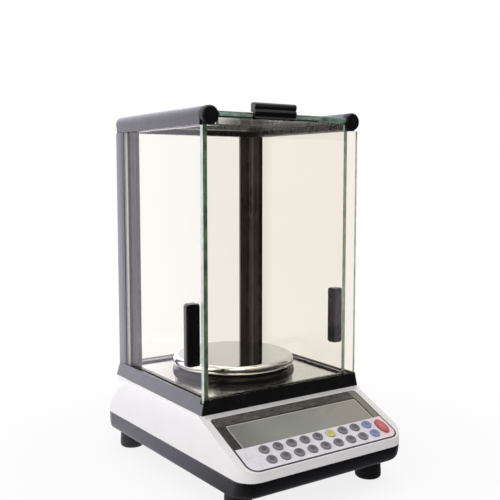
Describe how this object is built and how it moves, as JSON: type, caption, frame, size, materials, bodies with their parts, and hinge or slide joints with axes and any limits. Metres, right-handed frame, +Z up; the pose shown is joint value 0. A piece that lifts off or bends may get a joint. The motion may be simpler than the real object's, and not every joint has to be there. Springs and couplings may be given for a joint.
{
  "type": "precision balance",
  "caption": "Precision balance: round pan inside a glass draught shield with sliding side and top doors, on a housing with a sloped keypad and display.",
  "frame": {"origin": "centre of the housing's outline, on the table under the feet", "axes": "+Z up, +X to the right seen from the front, +Y to the rear, front towards -Y"},
  "size_m": [0.1866, 0.259, 0.3392],
  "materials": {
    "white_housing": "satin white, lightly grained",
    "black_housing": "satin black",
    "foot_rubber": "matt black",
    "panel_sheet": "pale lilac-grey film",
    "clear_window": "clear lens",
    "display": "grey-green display in a black frame",
    "circuit_board": "green board",
    "aluminium": "machined",
    "polished_steel": "mirror polished",
    "black_frame": "satin black paint",
    "black_profile": "black anodised",
    "black_plastic": "semi-gloss black",
    "glass": "clear float glass with green polished edges",
    "port_metal": "plated",
    "grey_key": "soft grey",
    "blue_key": "soft blue",
    "lime_key": "soft yellow-green",
    "red_key": "soft red"
  },
  "bodies": {
    "base": {"upper_housing": "white_housing", "lower_housing": "black_housing", "front_panel": "panel_sheet", "display_window": "clear_window", "lcd_module": "display", "display_board": "circuit_board", "main_board": "circuit_board", "load_cell": "aluminium", "load_cell_base": "aluminium", "pan_support": "aluminium", "pan_collar": "black_plastic", "floor_plate": "polished_steel", "shield_base": "black_frame", "left_rear_post": "black_profile", "left_guide_strip": "black_profile", "right_rear_post": "black_profile", "right_guide_strip": "black_profile", "left_top_rail": "black_profile", "left_rail_front_cap": "black_plastic", "left_rail_rear_cap": "black_plastic", "right_top_rail": "black_profile", "right_rail_front_cap": "black_plastic", "right_rail_rear_cap": "black_plastic", "top_rear_rail": "black_profile", "front_glass": "glass", "rear_glass": "glass", "power_inlet": "black_plastic", "data_port": "port_metal"},
    "pan": {"weighing_pan": "polished_steel"},
    "left_door_set": {"left_door": "glass", "left_door_handle": "black_plastic"},
    "right_door_set": {"right_door": "glass", "right_door_handle": "black_plastic"},
    "top_door_set": {"top_door": "glass", "top_door_handle": "black_plastic"},
    "foot_front_left": {"foot_front_left": "foot_rubber"},
    "foot_front_right": {"foot_front_right": "foot_rubber"},
    "foot_rear_left": {"foot_rear_left": "foot_rubber"},
    "foot_rear_right": {"foot_rear_right": "foot_rubber"},
    "key_upper_1": {"key_upper_1": "grey_key"},
    "key_upper_2": {"key_upper_2": "grey_key"},
    "key_upper_3": {"key_upper_3": "grey_key"},
    "key_upper_4": {"key_upper_4": "grey_key"},
    "key_upper_5": {"key_upper_5": "grey_key"},
    "key_upper_6": {"key_upper_6": "lime_key"},
    "key_upper_7": {"key_upper_7": "grey_key"},
    "key_upper_8": {"key_upper_8": "grey_key"},
    "key_upper_9": {"key_upper_9": "blue_key"},
    "key_lower_1": {"key_lower_1": "grey_key"},
    "key_lower_2": {"key_lower_2": "grey_key"},
    "key_lower_3": {"key_lower_3": "grey_key"},
    "key_lower_4": {"key_lower_4": "grey_key"},
    "key_lower_5": {"key_lower_5": "grey_key"},
    "key_lower_6": {"key_lower_6": "grey_key"},
    "key_lower_7": {"key_lower_7": "grey_key"},
    "key_lower_8": {"key_lower_8": "grey_key"},
    "key_lower_9": {"key_lower_9": "blue_key"},
    "key_tall_red": {"key_tall_red": "red_key"}
  },
  "joints": [
    {"name": "pan_lift", "type": "slide", "parent": "base", "child": "pan", "axis": [0, 0, 1], "range_m": [0, 0.05]},
    {"name": "left_door_slide", "type": "slide", "parent": "base", "child": "left_door_set", "axis": [0, 1, 0], "range_m": [0, 0.13]},
    {"name": "right_door_slide", "type": "slide", "parent": "base", "child": "right_door_set", "axis": [0, 1, 0], "range_m": [-0.009, 0.113]},
    {"name": "top_door_slide", "type": "slide", "parent": "base", "child": "top_door_set", "axis": [0, 1, 0], "range_m": [0, 0.14]},
    {"name": "foot_front_left_turn", "type": "hinge", "parent": "base", "child": "foot_front_left", "pos_m": [-0.0722, -0.0961, 0.01], "axis": [0, 0, 1], "range_deg": [-720, 720]},
    {"name": "foot_front_right_turn", "type": "hinge", "parent": "base", "child": "foot_front_right", "pos_m": [0.0722, -0.0961, 0.01], "axis": [0, 0, 1], "range_deg": [-720, 720]},
    {"name": "foot_rear_left_turn", "type": "hinge", "parent": "base", "child": "foot_rear_left", "pos_m": [-0.0722, 0.1027, 0.01], "axis": [0, 0, 1], "range_deg": [-720, 720]},
    {"name": "foot_rear_right_turn", "type": "hinge", "parent": "base", "child": "foot_rear_right", "pos_m": [0.0722, 0.1027, 0.01], "axis": [0, 0, 1], "range_deg": [-720, 720]},
    {"name": "key_upper_1_press", "type": "slide", "parent": "base", "child": "key_upper_1", "axis": [0, 0.3955, -0.9185], "range_m": [0, 0.0005], "stiffness_N_per_m": 400, "springref_m": -0.001},
    {"name": "key_upper_2_press", "type": "slide", "parent": "base", "child": "key_upper_2", "axis": [0, 0.3955, -0.9185], "range_m": [0, 0.0005], "stiffness_N_per_m": 400, "springref_m": -0.001},
    {"name": "key_upper_3_press", "type": "slide", "parent": "base", "child": "key_upper_3", "axis": [0, 0.3955, -0.9185], "range_m": [0, 0.0005], "stiffness_N_per_m": 400, "springref_m": -0.001},
    {"name": "key_upper_4_press", "type": "slide", "parent": "base", "child": "key_upper_4", "axis": [0, 0.3955, -0.9185], "range_m": [0, 0.0005], "stiffness_N_per_m": 400, "springref_m": -0.001},
    {"name": "key_upper_5_press", "type": "slide", "parent": "base", "child": "key_upper_5", "axis": [0, 0.3955, -0.9185], "range_m": [0, 0.0005], "stiffness_N_per_m": 400, "springref_m": -0.001},
    {"name": "key_upper_6_press", "type": "slide", "parent": "base", "child": "key_upper_6", "axis": [0, 0.3955, -0.9185], "range_m": [0, 0.0005], "stiffness_N_per_m": 400, "springref_m": -0.001},
    {"name": "key_upper_7_press", "type": "slide", "parent": "base", "child": "key_upper_7", "axis": [0, 0.3955, -0.9185], "range_m": [0, 0.0005], "stiffness_N_per_m": 400, "springref_m": -0.001},
    {"name": "key_upper_8_press", "type": "slide", "parent": "base", "child": "key_upper_8", "axis": [0, 0.3955, -0.9185], "range_m": [0, 0.0005], "stiffness_N_per_m": 400, "springref_m": -0.001},
    {"name": "key_upper_9_press", "type": "slide", "parent": "base", "child": "key_upper_9", "axis": [0, 0.3955, -0.9185], "range_m": [0, 0.0005], "stiffness_N_per_m": 400, "springref_m": -0.001},
    {"name": "key_lower_1_press", "type": "slide", "parent": "base", "child": "key_lower_1", "axis": [0, 0.3955, -0.9185], "range_m": [0, 0.0005], "stiffness_N_per_m": 400, "springref_m": -0.001},
    {"name": "key_lower_2_press", "type": "slide", "parent": "base", "child": "key_lower_2", "axis": [0, 0.3955, -0.9185], "range_m": [0, 0.0005], "stiffness_N_per_m": 400, "springref_m": -0.001},
    {"name": "key_lower_3_press", "type": "slide", "parent": "base", "child": "key_lower_3", "axis": [0, 0.3955, -0.9185], "range_m": [0, 0.0005], "stiffness_N_per_m": 400, "springref_m": -0.001},
    {"name": "key_lower_4_press", "type": "slide", "parent": "base", "child": "key_lower_4", "axis": [0, 0.3955, -0.9185], "range_m": [0, 0.0005], "stiffness_N_per_m": 400, "springref_m": -0.001},
    {"name": "key_lower_5_press", "type": "slide", "parent": "base", "child": "key_lower_5", "axis": [0, 0.3955, -0.9185], "range_m": [0, 0.0005], "stiffness_N_per_m": 400, "springref_m": -0.001},
    {"name": "key_lower_6_press", "type": "slide", "parent": "base", "child": "key_lower_6", "axis": [0, 0.3955, -0.9185], "range_m": [0, 0.0005], "stiffness_N_per_m": 400, "springref_m": -0.001},
    {"name": "key_lower_7_press", "type": "slide", "parent": "base", "child": "key_lower_7", "axis": [0, 0.3955, -0.9185], "range_m": [0, 0.0005], "stiffness_N_per_m": 400, "springref_m": -0.001},
    {"name": "key_lower_8_press", "type": "slide", "parent": "base", "child": "key_lower_8", "axis": [0, 0.3955, -0.9185], "range_m": [0, 0.0005], "stiffness_N_per_m": 400, "springref_m": -0.001},
    {"name": "key_lower_9_press", "type": "slide", "parent": "base", "child": "key_lower_9", "axis": [0, 0.3955, -0.9185], "range_m": [0, 0.0005], "stiffness_N_per_m": 400, "springref_m": -0.001},
    {"name": "key_tall_red_press", "type": "slide", "parent": "base", "child": "key_tall_red", "axis": [0, 0.3955, -0.9185], "range_m": [0, 0.0005], "stiffness_N_per_m": 400, "springref_m": -0.001}
  ]
}
